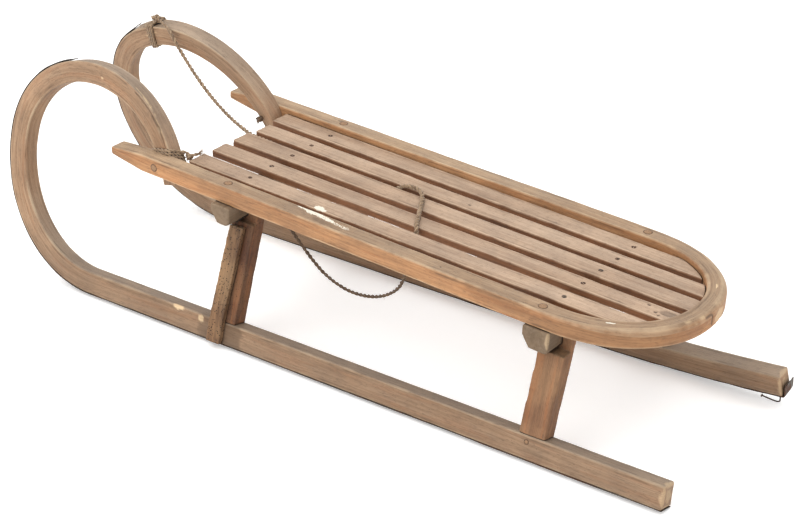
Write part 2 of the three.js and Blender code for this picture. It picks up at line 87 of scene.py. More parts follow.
RAIL_WIDTH = 307 * MM
RAIL_THICKNESS = 28 * MM
RAIL_HEIGHT = 28 * MM
RAIL_FRONT = 507 * MM
RAIL_BEND = -290 * MM
RAIL_REAR = -460 * MM
RAIL_ROUNDNESS = 2.15
TIP_TAPER = 64 * MM
TIP_HEIGHT = 12 * MM
TIP_DROOP = 6 * MM

# Plugs' and pegs' radius and length in mm. Their ends have swollen past their holes.
SLAT_SCREW = {"head": 4, "shank": 1.8, "length": 24}
RAIL_PLUG = (6.4, 34)
HORN_PLUG = (5.6, 38)
LEG_PEG = (3.4, 22)
SHOE_NAIL = [(0, -14), (1.2, -12.6), (1.4, -1.4), (2.9, -0.5), (3, -0.1), (2.6, 0.25), (1.2, 0.35),
             (0, 0.35)]  # radius and height
BENT_NAIL_RADIUS = 1.1 * MM

ROPE_RADIUS = 2.2 * MM
STRAND_RADIUS = 1.45 * MM
TWIST_PITCH = 15 * MM

# ---- frames

# The seat's frame has its origin at the top of the rail, the sides' frames at the undersides of the
# runners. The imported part's origin is on top of the middle slat.
SEAT = Matrix.Rotation(-PITCH, 4, "Y") @ Matrix.Translation((0, 0, -SLAT_TOP))
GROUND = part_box("left_runner_shoe")[0].z
GROUND_ORIGIN = Matrix.Translation((SLAT_TOP * sin(PITCH), 0, GROUND))
SHOE_REACH = (SHOE_GAP + SHOE_THICKNESS) * cos(LEAN) + SHOE_WIDTH / 2 * sin(LEAN)


def side_frame(side):
    lift = Matrix.Translation((0, side * TRACK / 2, SHOE_REACH))
    return GROUND_ORIGIN @ lift @ Matrix.Rotation(side * LEAN, 4, "X")


def moved(matrix, points):
    m = np.array(matrix)
    return np.asarray(points) @ m[:3, :3].T + m[:3, 3]


def direction(matrix, *vector):
    return (matrix.to_3x3() @ Vector(vector)).normalized()


# ---- noise

def value_noise(points, seed):
    """Smooth noise from -1 to 1 at each row of points, in cells of unit size."""
    cell = np.floor(points).astype(np.int64)
    t = points - cell
    t = t * t * (3 - 2 * t)
    total = np.zeros(len(points))
    for corner in range(8):
        step = np.array([corner >> axis & 1 for axis in range(3)])
        key = (cell + step) @ np.array([73856093, 19349663, 83492791]) + seed * 2654435761
        key = (key ^ (key >> 13)) * 1274126177
        key = ((key ^ (key >> 16)) & 0xFFFF) / 0x7FFF - 1
        total += np.prod(np.where(step, t, 1 - t), axis=1) * key
    return total


# ---- curves

def spline(points, spacing=0.9 * MM):
    """A Catmull-Rom curve through points, as points at an even spacing along it."""
    p = np.asarray(points, float)
    p = np.concatenate([[2 * p[0] - p[1]], p, [2 * p[-1] - p[-2]]])
    pieces = []
    for a, b, c, d in zip(p, p[1:], p[2:], p[3:]):
        k = np.cumsum([0] + [np.linalg.norm(q - r) ** 0.5 for q, r in ((b, a), (c, b), (d, c))])
        t = np.linspace(k[1], k[2], 12, endpoint=False)[:, None]

        def blend(p, q, i, j):
            return ((k[j] - t) * p + (t - k[i]) * q) / (k[j] - k[i])

        bc = blend(b, c, 1, 2)
        abc = blend(blend(a, b, 0, 1), bc, 0, 2)
        bcd = blend(bc, blend(c, d, 2, 3), 1, 3)
        pieces.append(blend(abc, bcd, 1, 2))
    dense = np.concatenate(pieces + [p[-2][None]])
    along = distances(dense)
    even = np.linspace(0, along[-1], max(3, round(along[-1] / spacing) + 1))
    return np.stack([np.interp(even, along, dense[:, axis]) for axis in range(3)], 1)


def distances(co):
    return np.concatenate([[0], np.cumsum(np.linalg.norm(np.diff(co, axis=0), axis=1))])


# ---- sweeping bars

WEAR_REACH = 2 * MM  # how far an edge's wear spreads into the flats


def section_rings(width, depth, radii, flat_steps):
    """A rounded rectangle for each station. Returns offsets across and up, as station by point,
    and how near each point is to a corner, from 0 to 1."""
    signs = [(1, 1), (-1, 1), (-1, -1), (1, -1)]
    points, edge = [], []

    def corner_point(corner, angle):
        sign_across, sign_up = signs[corner % 4]
        r = radii[corner % 4]
        return np.array([sign_across * (width / 2 - r) + r * cos(angle),
                         sign_up * (depth / 2 - r) + r * sin(angle)])

    for corner in range(4):
        for k in range(5):
            points.append(corner_point(corner, pi / 2 * (corner + k / 4)))
            edge.append(np.ones_like(width))
        start = points[-1]
        flat = corner_point(corner + 1, pi / 2 * (corner + 1)) - start
        for k in range(1, flat_steps[corner % 2]):
            t = k / flat_steps[corner % 2]
            points.append(start + flat * t)
            edge.append(np.exp(-np.hypot(*flat) * min(t, 1 - t) / WEAR_REACH))
    across, up = np.stack(points, -1)
    return across, up, np.stack(edge, 1)


def stations(length, spacing, end_radius):
    """Places along a bar, with how far the section is drawn in there to round the ends, and the
    share of the section left on the rows that close each end."""
    caps = [0.06, 0.3, 0.55, 0.8]
    turn = np.linspace(0, pi / 2, 4)
    near = end_radius * (1 - np.cos(turn))
    drawn = end_radius * (1 - np.sin(turn))
    count = max(2, round((length - 2 * end_radius) / spacing))
    middle = np.linspace(end_radius, length - end_radius, count + 1)[1:-1]
    cap = np.ones(len(caps))
    s = np.concatenate([0 * cap, near, middle, length - near[::-1], length * cap])
    inset = np.concatenate([end_radius * cap, drawn, 0 * middle, drawn[::-1], end_radius * cap])
    share = np.concatenate([caps, np.ones(len(s) - 2 * len(caps)), caps[::-1]])
    return s, inset, share


def sweep(path, length, width, depth, radii, end_radius, spacing=2.5 * MM, flat_steps=(12, 14)):
    """A bar along a path. path(s) gives centre, across and up for each place s, and width, depth and
    radii may depend on s. Grain coordinates are the place along, across and up the bar."""
    s, inset, share = stations(length, spacing, end_radius)
    centre, side, up = np.broadcast_arrays(*path(s))
    w = np.broadcast_to(width(s) if callable(width) else width, s.shape) - 2 * inset
    d = np.broadcast_to(depth(s) if callable(depth) else depth, s.shape) - 2 * inset
    corner = [np.maximum((r(s) if callable(r) else r) - inset, 0.3 * MM) for r in radii]
    a, u, edge = section_rings(w, d, corner, flat_steps)
    a, u = a * share[:, None], u * share[:, None]
    edge = edge * (share == 1)[:, None]
    co = centre[:, None] + a[..., None] * side[:, None] + u[..., None] * up[:, None]
    grain = np.stack([np.broadcast_to(s[:, None], a.shape), a, u], -1)
    return {"co": co, "grain": grain, "edge": edge}


def tube_faces(rows, ring, start=0):
    """Quads round a tube of rows by ring points, closed by a fan at each end."""
    faces = []
    for i in range(rows - 1):
        for j in range(ring):
            k = (j + 1) % ring
            at = start + i * ring
            faces.append((at + j, at + k, at + ring + k, at + ring + j))
    first, last = start, start + (rows - 1) * ring
    faces += [(first + (j + 1) % ring, first + j, start + rows * ring) for j in range(ring)]
    faces += [(last + j, last + (j + 1) % ring, start + rows * ring + 1) for j in range(ring)]
    return faces


def closed(rows):
    """Rows flattened, with the middle of the first and the last row added, for the end fans."""
    ends = np.stack([rows[0].mean(0), rows[-1].mean(0)])
    return np.concatenate([rows.reshape(-1, rows.shape[-1]), ends])


# ---- meshes

def new_object(name, data):
    obj = bpy.data.objects.new(name, data)
    bpy.context.scene.collection.objects.link(obj)
    return obj


def mesh_object(name, co, faces, material, smooth=True):
    mesh = bpy.data.meshes.new(name)
    mesh.from_pydata(co.tolist(), [], faces)
    mesh.materials.append(material)
    mesh.polygons.foreach_set("use_smooth", [smooth] * len(mesh.polygons))
    mesh.update()
    return new_object(name, mesh)


def attribute(obj, name, values):
    kind = "FLOAT_VECTOR" if values.ndim == 2 else "FLOAT"
    layer = obj.data.attributes.new(name, kind, "POINT")
    layer.data.foreach_set("vector" if values.ndim == 2 else "value", values.astype(np.float32).ravel())


def modified(obj):
    """A new mesh of an object's shape after its modifiers."""
    depsgraph = bpy.context.evaluated_depsgraph_get()
    return bpy.data.meshes.new_from_object(obj.evaluated_get(depsgraph))


def places_and_normals(mesh):
    co = np.array([v.co for v in mesh.vertices], np.float64)
    return co, np.array([v.normal for v in mesh.vertices])


def dent(place, reach, depth=0.0, fresh=0.0, dirt=0.0, pale=0.0):
    """A worn place on a bar, in grain coordinates: its middle, its reach along each axis, its depth,
    and how much fresh wood, dirt or pale residue shows there."""
    return {"place": np.array(place) * MM, "reach": np.array(reach) * MM, "depth": depth * MM,
            "fresh": fresh, "dirt": dirt, "pale": pale}


def scar(route, width, depth, **stains):
    """A line of dents along a route in grain coordinates."""
    return [dent(place, (8, width, width), depth, **stains) for place in spline(route, 5)]


def wear(obj, grain, edge, seed, wobble=0.35, rough=0.1, marks=()):
    """Moves the surface in and out a little along its normals, and stores what the wood's material
    reads: grain coordinates, worn edges, fresh wood, dirt and pale residue."""
    co, normal = places_and_normals(obj.data)

    def noise(cell, shift):
        return value_noise(grain / np.array(cell) / MM, seed + shift)

    out = wobble * MM * noise((90, 40, 40), 0)
    out += rough * MM * noise((14, 5, 5), 7)
    out -= 0.5 * MM * edge * np.clip(noise((22, 30, 30), 3), 0, 1)
    stains = {stain: np.zeros(len(co)) for stain in ("fresh", "dirt", "pale")}
    for mark in marks:
        near = np.sum(((grain - mark["place"]) / mark["reach"]) ** 2, axis=1)
        ragged = near * (1 + 0.4 * noise(5, 11))
        share = np.clip(1 - ragged, 0, 1)
        out -= mark["depth"] * share ** 0.7
        for stain in stains:
            stains[stain] = np.maximum(stains[stain], mark[stain] * np.clip(2.5 * share, 0, 1))
    co += normal * out[:, None]
    obj.data.vertices.foreach_set("co", co.ravel())
    obj.data.update()
    attribute(obj, "grain", grain + np.array([seed * GOLDEN % 1, 0, 0]))
    attribute(obj, "edge", edge)
    for stain, values in stains.items():
        attribute(obj, stain, values)


def stand_in(obj, node, body="sled"):
    """Puts a piece on its body, in place of a CAD node."""
    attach(obj, body)
    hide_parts(node)
    return obj


def bar_object(name, bar, matrix, material, seed, node, slot, **worn):
    obj = mesh_object(name, moved(matrix, closed(bar["co"])), tube_faces(*bar["edge"].shape), material)
    edge = closed(bar["edge"][..., None])[:, 0]
    wear(obj, closed(bar["grain"]), edge, seed, **worn)
    stand_in(obj, node)


def remeshed(name, node, local, material, seed, slot, voxel=1.4 * MM, smoothing=5, along=2, **worn):
    """A worn copy of a CAD node: remeshed finely in its own frame, smoothed, then roughened. along is
    the axis that its grain follows."""
    source = new_object(name + "_source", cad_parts[node].data.copy())
    source.data.transform(local.inverted())
    remesh = source.modifiers.new("remesh", "REMESH")
    remesh.mode = "VOXEL"
    remesh.voxel_size = voxel
    smooth = source.modifiers.new("smooth", "SMOOTH")
    smooth.iterations = smoothing
    smooth.factor = 0.5
    mesh = modified(source)
    bpy.data.objects.remove(source)
    mesh.name = name
    mesh.materials.clear()
    mesh.materials.append(material)
    mesh.polygons.foreach_set("use_smooth", [True] * len(mesh.polygons))
    local_co, normal = places_and_normals(mesh)
    sharp = np.clip(1.25 - np.abs(normal).max(1), 0, 0.3) / 0.3
    mesh.transform(local)
    obj = new_object(name, mesh)
    wear(obj, np.roll(local_co, -along, axis=1), sharp, seed, **worn)
    stand_in(obj, node)


# ---- materials

def linear(colour):
    """A six-digit colour as linear red, green, blue and alpha."""
    parts = [int(colour[i:i + 2], 16) / 255 for i in (0, 2, 4)]
    return [p / 12.92 if p <= 0.04045 else ((p + 0.055) / 1.055) ** 2.4 for p in parts] + [1]


class Graph:
    """A material's node tree, built by short calls that each return an output socket."""

    def __init__(self, name):
        self.material = bpy.data.materials.new(name)
        self.material.use_nodes = True
        self.tree = self.material.node_tree
        self.tree.nodes.clear()

    def node(self, kind, values=None, **settings):
        node = self.tree.nodes.new("ShaderNode" + kind)
        for key, value in settings.items():
            setattr(node, key, value)
        for key, value in (values or {}).items():
            if isinstance(value, bpy.types.NodeSocket):
                self.tree.links.new(value, node.inputs[key])
            else:
                node.inputs[key].default_value = value
        return node

    def math(self, operation, a, b=0.0):
        return self.node("Math", {0: a, 1: b}, operation=operation).outputs[0]

    def times(self, *factors):
        product = factors[0]
        for factor in factors[1:]:
            product = self.math("MULTIPLY", product, factor)
        return product

    def plus(self, a, b):
        return self.math("ADD", a, b)

    def minus(self, a, b):
        return self.math("SUBTRACT", a, b)

    def ramp(self, value, low, high, to_low=0.0, to_high=1.0):
        """A smooth step from to_low to to_high as value goes from low to high."""
        values = {0: value, 1: low, 2: high, 3: to_low, 4: to_high}
        return self.node("MapRange", values, interpolation_type="SMOOTHSTEP").outputs[0]

    def mix(self, factor, a, b, blend="MIX"):
        node = self.node("Mix", {0: factor, 6: a, 7: b}, data_type="RGBA", blend_type=blend)
        return node.outputs[2]

    def tint(self, colour, paint, *amounts):
        """A colour painted over by another, as much as the product of the amounts says."""
        return self.mix(self.times(*amounts), colour, linear(paint))

    def noise(self, vector, scale, detail=3.0, roughness=0.5):
        stretched = self.node("VectorMath", {0: vector, 1: scale}, operation="MULTIPLY").outputs[0]
        values = {"Vector": stretched, "Scale": 1.0, "Detail": detail, "Roughness": roughness}
        return self.node("TexNoise", values).outputs["Fac"]

    def even_noise(self, vector, scale, detail=3.0, roughness=0.5):
        return self.noise(vector, (scale, scale, scale), detail, roughness)

    def rings(self, across, height, per_metre, waver):
        """Growth rings round an axis, as a wave from -1 to 1."""
        radius = self.math("SQRT", self.plus(self.times(across, across), self.times(height, height)))
        return self.math("SINE", self.plus(self.times(radius, per_metre), waver))

    def value(self, name):
        return self.node("Attribute", attribute_name=name).outputs["Fac"]

    def vector(self, name):
        return self.node("Attribute", attribute_name=name).outputs["Vector"]

    def position(self):
        return self.node("NewGeometry").outputs["Position"]

    def axes(self, vector):
        return self.node("SeparateXYZ", {0: vector}).outputs

    def surface(self, colour, roughness, height, bump, metallic=0.0, **extra):
        """The finished material. bump is how deep its relief is for a height from 0 to 1."""
        normal = self.node("Bump", {"Strength": 1.0, "Distance": bump, "Height": height}).outputs[0]
        shader = self.node("BsdfPrincipled", {
            "Base Color": colour, "Roughness": roughness, "Metallic": metallic, "Normal": normal, **extra})
        self.node("OutputMaterial", {"Surface": shader.outputs[0]})
        return self.material


# How far the painted shade in crevices reaches.
CREVICE_SHADE_REACH = 7 * MM
# How high above the ground the painted shade on the wood reaches.
GROUND_SHADE_HEIGHT = 110 * MM
FRESH_WOOD = "dfc29a"


def wood(name, side, side_dark, top, top_dark, worn, figure=0.5, holes=0.0, gloss=0.0, ground_shade=0.0, warm=0.0):
    """Old wood. side colours show on upright faces, top colours on faces turned up and worn on the
    edges. figure is the strength of the growth rings, holes that of woodworm, ground_shade that of
    the painted shade that darkens and greys it towards the ground and warm that of red-brown streaks."""
    g = Graph(name)
    grain = g.vector("grain")
    position = g.position()
    edge = g.value("edge")
    fine = g.noise(grain, (40, 900, 900), 4, 0.6)
    streak = g.noise(grain, (8, 210, 210), 4, 0.6)
    wide = g.noise(grain, (3.5, 45, 45), 3)
    blotch = g.even_noise(position, 16, 5, 0.6)
    speck = g.even_noise(position, 260, 3, 0.7)
    pore = g.ramp(g.noise(grain, (110, 1900, 1900), 1), 0.6, 0.72)

    axes = g.axes(grain)
    bend = g.times(g.minus(wide, 0.5), 0.012)
    across = g.plus(axes["Y"], g.plus(bend, 0.031))
    height = g.plus(axes["Z"], g.plus(bend, 0.024))
    ring = g.ramp(g.rings(across, height, 2600.0, g.times(streak, 5.0)), -0.2, 1.0)

    tone = g.ramp(g.plus(g.times(streak, 0.5), g.times(wide, 0.5)), 0.3, 0.7)
    side_colour = g.mix(tone, linear(side_dark), linear(side))
    top_colour = g.mix(tone, linear(top_dark), linear(top))
    up = g.axes(g.node("NewGeometry").outputs["Normal"])["Z"]
    greyed = g.ramp(g.plus(up, g.times(g.minus(blotch, 0.5), 0.5)), 0.2, 0.95)
    colour = g.mix(greyed, side_colour, top_colour)
    colour = g.mix(g.times(ring, figure * 0.3), colour, linear("8a6a4c"), "MULTIPLY")
    colour = g.mix(1.0, colour, g.ramp(blotch, 0.3, 0.7, 0.86, 1.1), "MULTIPLY")
    if warm:
        red = g.ramp(g.noise(grain, (7, 75, 75), 4, 0.6), 0.48, 0.66)
        colour = g.tint(colour, "9a5c30", red, g.minus(1.0, g.times(greyed, 0.8)), warm)
    colour = g.tint(colour, "4a3526", g.ramp(streak, 0.56, 0.76), 0.28)
    colour = g.tint(colour, "3c2b1e", pore, 0.5)
    colour = g.tint(colour, worn, g.ramp(edge, 0.55, 1.0), g.ramp(blotch, 0.35, 0.62), 0.4)
    beside_edge = g.times(g.ramp(edge, 0.02, 0.3), g.minus(1.0, g.ramp(edge, 0.4, 0.8)))
    grime = g.ramp(g.noise(grain, (20, 60, 60), 3), 0.48, 0.68)
    colour = g.tint(colour, "4d3a2b", beside_edge, grime, 0.5)
    colour = g.tint(colour, "3a2a1f", g.ramp(speck, 0.64, 0.74), 0.45)
    # Painted shade: darker and greyer towards the ground, unevenly along the grain.
    if ground_shade:
        low = g.ramp(g.axes(position)["Z"], GROUND + GROUND_SHADE_HEIGHT, GROUND, 0.0, ground_shade)
        colour = g.tint(colour, "4f4338", low, g.ramp(wide, 0.2, 0.7, 0.5, 1.2))
    relief = g.plus(g.times(fine, 0.5), g.times(streak, 0.9))
    relief = g.minus(relief, g.times(pore, 0.35))
    relief = g.plus(relief, g.times(speck, 0.15))
    if holes:
        worm = g.node("TexVoronoi", {"Vector": grain, "Scale": 260.0}).outputs["Distance"]
        bored = g.times(g.ramp(worm, 0.3, 0.18), holes)
        colour = g.tint(colour, "22160e", bored)
        relief = g.minus(relief, g.times(bored, 1.5))
    colour = g.tint(colour, FRESH_WOOD, g.value("fresh"), g.ramp(fine, 0.25, 0.6, 0.55, 1.0))
    pale = g.value("pale")
    flake = g.times(g.minus(g.even_noise(position, 420, 4, 0.7), 0.5), 2.2)
    residue = g.ramp(g.plus(pale, flake), 0.45, 0.62)
    colour = g.tint(colour, "ddd6c6", residue, g.ramp(pale, 0.05, 0.2))
    colour = g.tint(colour, "2c2018", g.value("dirt"))
    # Painted shade: crevices and joints between parts are darkened where ambient occlusion finds little
    # open sky, more in some blotches than others.
    open_sky = g.node("AmbientOcclusion", {"Distance": CREVICE_SHADE_REACH}).outputs["AO"]
    colour = g.tint(colour, "33251b", g.ramp(open_sky, 0.72, 0.3), g.ramp(blotch, 0.3, 0.6, 0.45, 0.85))
    roughness = g.ramp(blotch, 0.3, 0.7, 0.58 - gloss, 0.8 - gloss)
    return g.surface(colour, roughness, relief, 0.45 * MM, **{"Specular IOR Level": 0.35})


def end_grain(name, light, dark):
    """The end of a plug or peg: fine rings across a pale face."""
    g = Graph(name)
    grain = g.vector("grain")
    axes = g.axes(grain)
    waver = g.times(g.even_noise(grain, 400, 2), 4.0)
    ring = g.rings(g.plus(axes["Y"], 0.006), axes["Z"], 5200.0, waver)
    speck = g.even_noise(grain, 2400, 2)
    colour = g.mix(g.ramp(ring, -0.6, 0.9), linear(light), linear(dark))
    colour = g.tint(colour, "3c2b1e", g.ramp(speck, 0.5, 0.62), 0.6)
    colour = g.tint(colour, "3d281b", g.value("edge"), 0.8)
    return g.surface(colour, 0.75, g.plus(ring, speck), 0.1 * MM)


def steel(name, bare, rust, rust_amount, polish):
    """Old steel with patches of rust. polish is the roughness of its bare patches."""
    g = Graph(name)
    grain = g.vector("grain")
    patch = g.noise(grain, (30, 120, 120), 5, 0.65)
    scratch = g.noise(grain, (14, 1600, 1600), 2)
    pit = g.even_noise(grain, 900, 3, 0.7)
    rusty = g.ramp(patch, 0.62 - rust_amount * 0.4, 0.72 - rust_amount * 0.3)
    metal = g.mix(g.ramp(scratch, 0.35, 0.7), linear(bare), linear("14110f"))
    colour = g.mix(rusty, metal, g.mix(g.ramp(pit, 0.35, 0.65), linear(rust), linear("2a1a12")))
    metallic = g.ramp(rusty, 0.0, 1.0, 0.9, 0.15)
    roughness = g.ramp(rusty, 0.0, 1.0, polish, 0.85)
    relief = g.plus(g.times(pit, g.ramp(rusty, 0.0, 1.0, 0.2, 1.0)), g.times(scratch, 0.3))
    return g.surface(colour, roughness, relief, 0.12 * MM, metallic)


def cord(name, dark, light, fibre_colour):
    """Brown plant-fibre twine, its fibres running along each twisted strand."""
    g = Graph(name)
    grain = g.vector("grain")
    fibre = g.noise(grain, (160, 2600, 2600), 3, 0.6)
    length = g.noise(grain, (26, 90, 90), 3)
    colour = g.mix(g.ramp(length, 0.32, 0.68), linear(dark), linear(light))
    colour = g.tint(colour, fibre_colour, g.ramp(fibre, 0.5, 0.7), 0.55)
    colour = g.tint(colour, "3f2c1d", g.ramp(fibre, 0.5, 0.34), 0.75)
    return g.surface(colour, 0.92, fibre, 0.35 * MM, **{"Sheen Weight": 0.25, "Sheen Roughness": 0.5})


# The runners' wood carries painted shade that darkens it towards the ground.
RUNNER_WOOD = wood("runner_wood", "aa8c70", "86684e", "a6937f", "857260", "b8a58a", ground_shade=0.3, warm=0.2)
RAIL_WOOD = wood("rail_wood", "b98a60", "8f6644", "ad9478", "8a6f55", "c6ad8e", gloss=0.12, warm=0.3)
# The slats' side colours are their own orange-brown, darkened further as painted shade for the narrow gaps
# between the slats.
SLAT_WOOD = wood("slat_wood", "8a5c3c", "5c3b25", "b89f88", "967c66", "c8b096", figure=0.35)
BOLSTER_WOOD = wood("bolster_wood", "7f6b57", "57442f", "87735d", "5c4a39", "8f7b64")
FRONT_LEG_WOOD = wood("front_leg_wood", "70462f", "3b2518", "75604b", "4c3929", "8a6a4d",
                      figure=0.9, holes=0.5, warm=0.45)
REAR_LEG_WOOD = wood("rear_leg_wood", "93694a", "5e412b", "806a52", "5b4633", "a08060",
                     figure=0.7, warm=0.45)
SPLINT_WOOD = wood("splint_wood", "946e4c", "4a321f", "8d7a63", "66523f", "a08463", figure=0.9, holes=1.0)
PLUG_WOOD = end_grain("plug_end_grain", "ab8764", "7f5d42")
SHOE_STEEL = steel("shoe_steel", "6d655d", "694630", 0.45, 0.45)
SCREW_STEEL = steel("screw_steel", "4a4540", "5a3924", 0.6, 0.5)
PALE_CORD = cord("pale_twine", "755d47", "a08669", "c4ad8d")
DARK_CORD = cord("dark_twine", "49382a", "6d543c", "947a5c")

# ---- runners and shoes

def running_sum(start, steps):
    return start + np.concatenate([[0], np.cumsum(steps)])


def runner_line(side):
    """The convex side of a runner: a function that gives x, z and heading at a distance from its rear
    end, and its whole length."""
    scale = RIGHT_HORN_SCALE if side == RIGHT else 1
    step = 0.5 * MM
    rear = RUNNER_REAR[side]
    rise, tilt = 0.0, 0.0
    bends = [(BEND_START - rear, 0.0)]
    if side == RIGHT:
        turn = asin((WARP_START - rear) / WARP_RADIUS)
        rise, tilt = WARP_RADIUS * (1 - cos(turn)), -turn
        bends = [(WARP_RADIUS * turn, 1 / WARP_RADIUS), (BEND_START - WARP_START, 0.0)]
    bends += [(r * scale * radians(turn), 1 / (r * scale)) for r, turn in HORN_ARCS]
    length = sum(part for part, _ in bends)
    s = np.arange(0, length + step, step)
    ends = np.cumsum([part for part, _ in bends])
    bend = np.array([b for _, b in bends] + [bends[-1][1]])
    curve = bend[np.searchsorted(ends, s)]
    heading = running_sum(tilt, (curve[:-1] + curve[1:]) / 2 * step)
    middle = (heading[:-1] + heading[1:]) / 2
    x = running_sum(rear, np.cos(middle) * step)
    z = running_sum(rise, np.sin(middle) * step)
    return (lambda q: (np.interp(q, s, x), np.interp(q, s, z), np.interp(q, s, heading))), length


def place_at(line, length, heading):
    """How far along a runner its bar has turned up to a heading."""
    s = np.linspace(0, length, 4000)
    return np.interp(heading, line(s)[2], s)


def bar_depth(heading):
    """How deep a runner's bar is where it has turned up to a heading."""
    around = np.clip(heading / FULL_TURN, 0, 1)
    taper = np.clip((around - TAPER_FROM) / (1 - TAPER_FROM), 0, 1) ** 2
    full = RUNNER_DEPTH + (HORN_DEPTH - RUNNER_DEPTH) * np.clip(around / TAPER_FROM, 0, 1)
    return full + (TIP_DEPTH - HORN_DEPTH) * taper


def in_plane(x, z, heading, inset=0.0):
    """Centre, across and inward directions of a bar in a runner's plane, at a distance inside a line."""
    flat = np.zeros_like(x)
    inward = np.stack([-np.sin(heading), flat, np.cos(heading)], 1)
    centre = np.stack([x, flat, z], 1) + inward * np.reshape(inset, (-1, 1))
    return centre, [0, 1, 0], inward


def shoe_path(side):
    """A steel strip's path and length. It follows the runner's convex side a little way off, lifts at
    its front end, and on the right runner starts with a tab that curls up behind the rear end."""
    line, length = runner_line(side)
    end = place_at(line, length, SHOE_END[side])
    s = np.arange(0, end, 1 * MM)
    x, z, heading = line(s)
    lift = 0.8 * MM * np.clip((s - end + 30 * MM) / (30 * MM), 0, 1) ** 2
    ripple = 0.4 * MM * np.clip(np.sin(s * 19 + side), 0, 1)
    away = SHOE_GAP + SHOE_THICKNESS - SHOE_METAL / 2 - ripple + lift
    x, z = x + away * np.sin(heading), z - away * np.cos(heading)
    if side == RIGHT:
        bend = 3 * MM
        turn = np.linspace(-pi / 2, heading[0], 8)[:-1]
        middle_x, middle_z = x[0] - bend * sin(heading[0]), z[0] + bend * cos(heading[0])
        rise = np.linspace(SHOE_TAB_RISE, 1 * MM, 12)
        x = np.concatenate([middle_x - bend - 0.06 * rise, middle_x + bend * np.sin(turn), x])
        z = np.concatenate([middle_z + rise, middle_z - bend * np.cos(turn), z])
        heading = np.concatenate([np.full(12, -pi / 2), turn, heading])
    along = distances(np.stack([x, z], 1))

    def path(q):
        return in_plane(*(np.interp(q, along, values) for values in (x, z, heading)))

    return path, along[-1]


def make_runner(side, marks):
    label = LABELS[side]
    seed = side == RIGHT
    line, length = runner_line(side)

    def depth(s):
        return bar_depth(line(s)[2])

    def path(s):
        return in_plane(*line(s), depth(s) / 2)

    bar = sweep(path, length, RUNNER_WIDTH, depth, [2 * MM, 2 * MM, 1.5 * MM, 1.5 * MM], 3 * MM)
    bar_object(f"{label}_runner_bar", bar, side_frame(side), RUNNER_WOOD, 3 + seed,
               f"{label}_runner", "runner_wood", wobble=0.5, marks=marks)
    strip = sweep(*shoe_path(side), SHOE_WIDTH + SHOE_SPREAD, SHOE_METAL, [0.4 * MM] * 4, 0.5 * MM,
                  spacing=4 * MM, flat_steps=(8, 2))
    bar_object(f"{label}_shoe_strip", strip, side_frame(side), SHOE_STEEL, 31 + seed,
               f"{label}_runner_shoe", "shoe_steel", wobble=0.1, rough=0.03)


def worn_end():
    """Rubbed rims and a fresher middle on a runner's rear end."""
    rims = [dent((0, across, 0), (7, 3, 17), 0.5, fresh=0.35) for across in (12.5, -12.5)]
    rims += [dent((0, 0, up), (7, 14, 3), 0.5, fresh=0.35) for up in (16, -16)]
    return rims + [dent((0, 1, 0), (3, 8, 11), 0, fresh=0.3)]


make_runner(LEFT, worn_end() + [
    dent((859, 13.5, 15.5), (11, 4, 5), 0.9, fresh=1), dent((811, 14, 10), (6, 3, 6), 0.7, fresh=1),
    dent((798, 14, 0), (18, 5, 34), 0, dirt=0.3), dent((751, 14, 0), (24, 5, 40), 0, dirt=0.42),
    dent((1652, 13.5, 2), (3, 2, 1.6), 0.4, fresh=1),
    *scar([(1680, 9, -14), (1699, 8, -14), (1721, 7, -13.8)], 1.8, 0.8, dirt=0.55),
    *scar([(1721, 8, -13.8), (1756, 10, -13.5), (1801, 13.8, -11)], 2.4, 0.9, fresh=0.6),
    *scar([(1730, 13, -12), (1770, 14, -11), (1824, 14, -9)], 1.5, 0.8, dirt=0.6),
])
make_runner(RIGHT, worn_end() + [
    *scar([(1659, 13, -9), (1690, 5, -14), (1716, -1, -14.5), (1750, -8, -14)], 1.4, 0.8, dirt=0.6),
    dent((1600, 13.5, -6), (10, 2, 1.6), 0.5, fresh=0.6),
    dent((1585, 13.8, -2), (9, 2, 1.4), 0.5, fresh=0.6),
])

# ---- seat rail

def rail_line(inset):
    """x and y of the U that the rail follows, from the right tip to the left tip."""
    count = 3000
    half = RAIL_WIDTH / 2 - inset
    reach = RAIL_BEND - RAIL_REAR - inset
    angle = np.linspace(0, pi, count)
    power = 2 / RAIL_ROUNDNESS
    x = RAIL_BEND - reach * np.sin(angle).clip(0) ** power
    y = -half * np.abs(np.cos(angle)) ** power * np.sign(np.cos(angle))
    straight = np.linspace(RAIL_FRONT, RAIL_BEND, count, endpoint=False)
    ends = np.full(count, half)
    return np.concatenate([straight, x, straight[::-1]]), np.concatenate([-ends, y, ends])


SOFT_REACH = 300 * MM  # how far from its rear middle the rail's edges are worn soft


